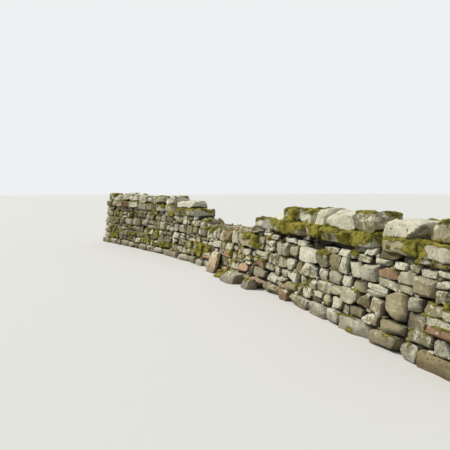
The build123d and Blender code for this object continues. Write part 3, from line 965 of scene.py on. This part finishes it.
# %% [markdown]
# The footing is the widest course, laid in two rows that meet near the middle. The open
# joints of the measured footing tell where each stone starts and ends. The stones are big
# and rough, differ in height and in how far they stand out, and have feet stained by soil.

# %% Footing
FOOTING_REACH = 0.40
NEAR_REACH = 0.01
FEET_CUT_OFF = 0.03  # how much of the rounded feet goes, so that the stones sit flat
SET_BACK = (0.03, 0.025)  # how far at most, for whole stones and for each corner
SET_LOW = (0.012, 0.02)  # and how far low
FROM_CENTRE_LINE = 0.01

rng = np.random.default_rng(3)
skin, quads = block_grid((13, 7, 7))
for bay in range(BAYS):
    cells = []
    triangles = triangles_of(f"footing_{bay + 1}")
    for side in (FRONT, BACK):
        on_side = (side * triangles[..., 1] > FOOTING_REACH - NEAR_REACH).all(1)
        for front in told_apart(triangles[on_side]):
            cell = np.empty((2, 2, 2, 3))
            cell[0, ..., 0] = front[..., 0].min() - rng.uniform(0, SWELL[0], (2, 2))
            cell[1, ..., 0] = front[..., 0].max() + rng.uniform(0, SWELL[0], (2, 2))
            reach = FOOTING_REACH - rng.uniform(0, SET_BACK[0]) - rng.uniform(0, SET_BACK[1], (2, 2))
            outer, inner = side * reach, side * (FROM_CENTRE_LINE + 0 * reach)
            cell[:, 0, :, 1], cell[:, 1, :, 1] = (outer, inner) if side == FRONT else (inner, outer)
            cell[..., 0, 2] = -FEET_CUT_OFF
            cell[..., 1, 2] = FOOTING_TOP - rng.uniform(0, SET_LOW[0])
            cell[..., 1, 2] -= rng.uniform(0, SET_LOW[1], (2, 2))
            cells.append(cell)
    cells = np.array(cells)
    facts = drawn_facts(cells, rng, moss_from=0.0)
    local = rough_blocks(skin, len(cells), rng, roundness=(7.0, 18.0), chips=16, chip_depth=0.95)
    points = roughened(to_part(into_cells(local, cells)), rng, BIG_STONE_LUMPS)
    lay(f"footing_stones_{bay + 1}", [f"footing_{bay + 1}"], "footing_stone", points, quads, facts)

# %% [markdown]
# Through stones are the longest in the wall. Each lies across it and shows at both faces,
# standing a little proud, so it is a finely divided bar with few chips.

# %% Through stones
rng = np.random.default_rng(4)
skin, quads = block_grid((10, 24, 7))
for bay in range(BAYS):
    cells = cells_of(f"through_stones_{bay + 1}")
    facts = drawn_facts(cells, rng, moss_from=0.05)
    local = rough_blocks(skin, len(cells), rng, roundness=(6.0, 14.0), chips=10, chip_depth=0.7)
    points = roughened(to_part(into_cells(local, cells)), rng)
    name = f"through_stones_dressed_{bay + 1}"
    lay(name, [f"through_stones_{bay + 1}"], "through_stone", points, quads, facts)

# %% [markdown]
# A wall head is built like the corner of a house. Its courses take turns: two long stones
# side by side, then one short tie laid across both, so that no joint runs straight up. The
# course lines are those of the measured stones in the same bay.

# %% Wall heads
HEAD_LONG = 0.46
HEAD_SHORT = 0.27
COURSES = 6
HEAD_PROUD = 0.006
HEAD_SPLIT = 0.05  # how far at most from the middle the long stones meet


def course_lines(bay):
    """The levels between a bay's courses: each lies half a joint above the head of its stones."""
    heads = np.unique(np.round(measured[FRONT][bay][:, 3] + MEASURED_JOINT / 2, 3))
    return np.concatenate([[FOOTING_TOP], heads])[: COURSES + 1]


def head_cells(at_left, rng):
    """Cells of one head: a long course has two stones side by side, and a short one a single tie."""
    cells = []
    lines = course_lines(0 if at_left else BAYS - 1)
    for course in range(COURSES):
        length = HEAD_SHORT if course % 2 else HEAD_LONG
        reach = [0.0, length - JOINT / 2]
        if not at_left:
            reach = [WALL_LENGTH - length + JOINT / 2, WALL_LENGTH]
        along = np.array(reach)[:, None] + np.zeros((2, 2))
        height = lines[[course, course + 1]] + 0 * along
        height += np.array([JOINT / 2, -JOINT / 2])
        outer = half_width(height) + rng.normal(0, HEAD_PROUD, (2, 2))
        sides = [(-outer, outer)]
        if length == HEAD_LONG:
            middle = rng.uniform(-HEAD_SPLIT, HEAD_SPLIT) + 0 * outer
            sides = [(-outer, middle - JOINT / 2), (middle + JOINT / 2, outer)]
        for front, back in sides:
            cell = np.empty((2, 2, 2, 3))
            cell[..., 0] = along[:, None]
            cell[:, 0, :, 1], cell[:, 1, :, 1] = front, back
            cell[..., 2] = height[:, None]
            cells.append(cell)
    return np.array(cells)


rng = np.random.default_rng(5)
skin, quads = block_grid((12, 14, 8))
for end_name in ("left", "right"):
    cells = head_cells(end_name == "left", rng)
    facts = drawn_facts(cells, rng, moss_from=0.0)
    local = rough_blocks(skin, len(cells), rng, roundness=(6.0, 14.0), chips=11, chip_depth=0.6)
    points = roughened(to_part(into_cells(local, cells)), rng)
    name = f"wall_head_stones_{end_name}"
    lay(name, [f"wall_head_{end_name}"], "face_stone", points, quads, facts)

# %% [markdown]
# The cover band is a row of flat slabs that jut over both faces. Moss has grown over
# them, thickest on the last two bays, where it hangs over the edge like a cushion. The slabs
# are cut by upright planes, which keeps them flat and makes their outline ragged.

# %% Cover band
SLAB_MOSS = (0.28, 0.32, 0.46, 0.08, 0.74, 0.66)
SLAB_CRUST = (0.0, 0.0, 0.0, 0.5, 0.0, 0.0)  # how much paler than the faces
SLAB_RAGGED = 0.028  # how far their corners stray across the wall
SLAB_TOPS = (-0.024, 0.006)  # and up
SLAB_SETTLED = 0.012  # into the rough tops of the stones beneath

rng = np.random.default_rng(6)
skin, quads = block_grid((24, 24, 7))
for bay in range(BAYS):
    cells = cells_of(f"cover_band_{bay + 1}")
    cells[..., 1] += rng.uniform(-SLAB_RAGGED, SLAB_RAGGED, cells.shape[:-1])
    cells[:, :, :, 0, 2] -= SLAB_SETTLED
    cells[:, :, :, 1, 2] += rng.uniform(*SLAB_TOPS, cells.shape[:3])
    facts = drawn_facts(cells, rng, SLAB_MOSS[bay], crust_more=SLAB_CRUST[bay])
    shape = {"roundness": (8.0, 14.0), "chips": 12, "chip_depth": 0.9, "upright": 0.25}
    local = rough_blocks(skin, len(cells), rng, **shape)
    points = roughened(to_part(into_cells(local, cells)), rng, BIG_STONE_LUMPS)
    name = f"cover_slabs_{bay + 1}"
    lay(name, [f"cover_band_{bay + 1}"], "cover_stone", points, quads, facts)

# %% [markdown]
# The coping is of the biggest and palest stones, bleached by sun and lichen. They are
# broad rough blocks that narrow upwards, each as large as its measured solid, and moss
# climbs on them from the cover band.

# %% Coping
COPE_MOSS = {0: 0.08, 1: 0.06, 2: 0.05, 4: 0.34, 5: 0.12}
MOSS_AT_FOOT = 0.55  # how much mossier a cope is at its foot
MOSS_CLIMBS = 0.09
COPE_ENDS = (-0.018, 0.006)  # how far their ends stray outwards
COPE_LOWERED = 0.05
COPE_CRUST = 0.20  # how much paler than the faces
COPE_TINT_FROM = 0.35
COPE_TINT_SPREAD = 0.55
PALEST_COPE = 0.80
WHITE_BAY = 4
WHITE_COPES = [0, 4]  # their numbers in that bay
WHITE_CRUST = 1.3
WHITE_MOSS = -0.3
CLIMBS_FROM = 0.1  # of a bay's copes, for moss to climb on them

rng = np.random.default_rng(7)
skin, quads = block_grid((18, 18, 12))
for bay, moss_from in COPE_MOSS.items():
    cells = cells_of(f"cope_stones_{bay + 1}")
    outwards = np.array([-1, 1])[:, None, None]
    cells[..., 0] += rng.uniform(*COPE_ENDS, cells.shape[:-1]) * outwards
    cells[:, :, :, 1, 2] += rng.uniform(-COPE_LOWERED, 0.0, cells.shape[:3])
    facts = drawn_facts(cells, rng, moss_from, crust_more=COPE_CRUST)
    facts["tint"] = np.clip(COPE_TINT_FROM + COPE_TINT_SPREAD * facts["tint"], 0, PALEST_COPE)
    if bay == WHITE_BAY:
        facts["crust"][WHITE_COPES] = WHITE_CRUST
        facts["mossiness"][WHITE_COPES] = WHITE_MOSS
    local = rough_blocks(skin, len(cells), rng, roundness=(6.0, 14.0), chips=18, chip_depth=0.95)
    wall = into_cells(local, cells)
    above_foot = wall[..., 2] - wall[..., 2].min(1, keepdims=True)
    climbing = MOSS_AT_FOOT * (1 - steps(above_foot, 0, MOSS_CLIMBS)) * (moss_from > CLIMBS_FROM)
    facts["mossiness"] = facts["mossiness"] + climbing
    points = roughened(to_part(wall), rng, BIG_STONE_LUMPS)
    lay(f"cope_blocks_{bay + 1}", [f"cope_stones_{bay + 1}"], "cope_stone", points, quads, facts)

# %% [markdown]
# Three stones rolled down from the breach, and a slab slid after them and leans on the
# footing. They are made like the stones of the wall, in the cells of the measured ones.

# %% Fallen stones
PALEST_FALLEN = 0.80
LEANING_FACTS = {"tint": 0.91, "shade": 1.15, "crust": 0.45}  # pinkish, like the stones beside it

rng = np.random.default_rng(8)
skin, quads = block_grid((13, 11, 9))
cells = cells_of("fallen_stones")
cells[:, :, :, 0, 2] -= FEET_CUT_OFF
facts = drawn_facts(cells, rng, moss_from=0.05)
leaning = cells[..., 2].max((1, 2, 3)).argmax()
facts["tint"] = np.minimum(facts["tint"], PALEST_FALLEN)
for name, value in LEANING_FACTS.items():
    facts[name][leaning] = value
local = rough_blocks(skin, len(cells), rng, roundness=(8.0, 16.0), chips=14, chip_depth=0.95)
points = roughened(to_part(into_cells(local, cells)), rng)
lay("fallen_rubble", ["fallen_stones"], "face_stone", points, quads, facts)

# %% [markdown]
# In the breach the fill lies open. It is broken stone the size of a fist, tipped in as it
# came. Some five hundred small blocks with few faces are turned at random and dropped in
# a shallow heap on the measured fill, which itself stays and gets a dark finish.

# %% Open fill
RUBBLE = 520
RUBBLE_HALF_SIZE = (0.028, 0.070)
FILL_BELOW = 0.045  # how far it has sunk below the ledges
FILL_HEAP = 0.05
FILL_HALF_WIDTH = 0.17
LONG_AND_FLAT = (1.2, 1.0, 0.75)


def random_turns(number, rng):
    """Rotation matrices from random unit quaternions."""
    quaternions = rng.normal(size=(4, number))
    w, x, y, z = quaternions / np.linalg.norm(quaternions, axis=0)
    rows = (
        (1 - 2 * (y * y + z * z), 2 * (x * y - w * z), 2 * (x * z + w * y)),
        (2 * (x * y + w * z), 1 - 2 * (x * x + z * z), 2 * (y * z - w * x)),
        (2 * (x * z - w * y), 2 * (y * z + w * x), 1 - 2 * (x * x + y * y)),
    )
    return np.array(rows).transpose(2, 0, 1)


rng = np.random.default_rng(9)
tops = ledges("front")
reaches = tops[:, 2] - tops[:, 1]
height, start, end = tops[rng.choice(len(tops), RUBBLE, p=reaches / reaches.sum())].T
along = rng.uniform(start, end)
across = rng.uniform(-FILL_HALF_WIDTH, FILL_HALF_WIDTH, RUBBLE)
half = rng.uniform(*RUBBLE_HALF_SIZE, (RUBBLE, 3)) * LONG_AND_FLAT
level = height - FILL_BELOW + rng.uniform(0.0, FILL_HEAP, RUBBLE)
centre = to_part(np.stack([along, across, level], -1))
skin, quads = block_grid((3, 3, 3))
local = rough_blocks(skin, RUBBLE, rng, roundness=(4.0, 9.0), chips=5, chip_depth=0.8)
local *= half[:, None]
points = np.einsum("nij,nvj->nvi", random_turns(RUBBLE, rng), local) + centre[:, None]
# A block's first eight points stand in for the corners of a cell
facts = drawn_facts(points[:, :8].reshape(-1, 2, 2, 2, 3), rng, moss_from=-0.1)
lay("open_fill", [], "hearting_stone", points, quads, facts)

# %% [markdown]
# Behind the faces stands the measured fill. Through a joint one sees only deep shade with
# a hint of small stones, so the plain solids stay and get a dark finish. One pattern of
# rounded cells gives both its colour and its bump.

# %% Fill that shows through the joints
FILL_TINTS = ((0.1, (0.090, 0.072, 0.048)), (0.7, (0.012, 0.010, 0.007)))

dark_fill = new_finish("dark_fill")
place = Wire.node("TexCoord", {}, {}, output="Object")
lumps = Wire.node("TexVoronoi", {"feature": "F1"}, {"Vector": place, "Scale": 16.0})
fill_colour = Wire.node("ValToRGB", {"stops": FILL_TINTS}, {0: lumps})
fill_bump = Wire.node("Bump", {}, {"Strength": 1.0, "Distance": 0.03, "Height": 1 - lumps})
end_finish({"Base Color": fill_colour, "Roughness": 0.95, "Normal": fill_bump})
for bay in range(BAYS):
    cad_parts[f"hearting_{bay + 1}"].material_slots[0].material = dark_fill
print("Dark fill:", BAYS, "bays")

# %% [markdown]
# The wall stands on a plain pale floor that reaches to the horizon, before a pale backdrop.
# The backdrop is the world as the camera sees it, while a dimmer sky lights the stones
# from all sides, with one broad sun high at the front left. Both lights are set so that a
# colour renders about as it is written.

# %% Floor, sky and sun
FLOOR_REACH = 150.0
FLOOR_COLOUR = (0.74, 0.74, 0.72, 1)
FLOOR_TO_STONES = (0.34, 0.34, 0.32, 1)
BACKDROP = (0.86, 0.87, 0.88, 1)
SKY = (0.92, 0.95, 1.0, 1)
SKY_STRENGTH = 0.42
SUN_STRENGTH = 3.0
SUN_WIDTH = math.radians(7)
SUN_TILT = math.radians(48)
SUN_TURN = math.radians(-48)
SUN_COLOUR = (1.0, 0.97, 0.90)


def seen_directly():
    """1 for what the camera sees, also mirrored or through glass, and 0 for what lights the stones."""
    seen = Wire.node("LightPath", {}, {}, output="Is Camera Ray")
    for ray in ("Is Glossy Ray", "Is Transmission Ray"):
        seen = seen.sum("MAXIMUM", seen, Wire.node("LightPath", {}, {}, output=ray))
    return seen


corners = FLOOR_REACH * np.array([(-1, -1, 0), (1, -1, 0), (1, 1, 0), (-1, 1, 0)])
floor_mesh = bpy.data.meshes.new("floor")
floor_mesh.from_pydata(corners.tolist(), [], [(0, 1, 2, 3)])
floor = bpy.data.objects.new("floor", floor_mesh)
bpy.context.scene.collection.objects.link(floor)
floor_finish = new_finish("floor_finish")
floor_colour = mix(seen_directly(), FLOOR_TO_STONES, FLOOR_COLOUR)
end_finish({"Base Color": floor_colour, "Roughness": 0.95})
floor_mesh.materials.append(floor_finish)

world = bpy.data.worlds.new("sky")
bpy.context.scene.world = world
world.use_nodes = True
world.node_tree.nodes.clear()
Wire.tree = world.node_tree
sky = Wire.node("Background", {}, {"Color": SKY, "Strength": SKY_STRENGTH})
backdrop = Wire.node("Background", {}, {"Color": BACKDROP, "Strength": 1.0})
sky_or_backdrop = Wire.node("MixShader", {}, {0: seen_directly(), 1: sky, 2: backdrop})
Wire.node("OutputWorld", {}, {"Surface": sky_or_backdrop})

sun_data = bpy.data.lights.new("sun", "SUN")
sun_data.energy = SUN_STRENGTH
sun_data.angle = SUN_WIDTH
sun_data.color = SUN_COLOUR
sun = bpy.data.objects.new("sun", sun_data)
sun.rotation_euler = (SUN_TILT, 0, SUN_TURN)
bpy.context.scene.collection.objects.link(sun)
bpy.context.scene.view_settings.view_transform = "Standard"
print("Sun:", SUN_STRENGTH, "- sky:", SKY_STRENGTH)
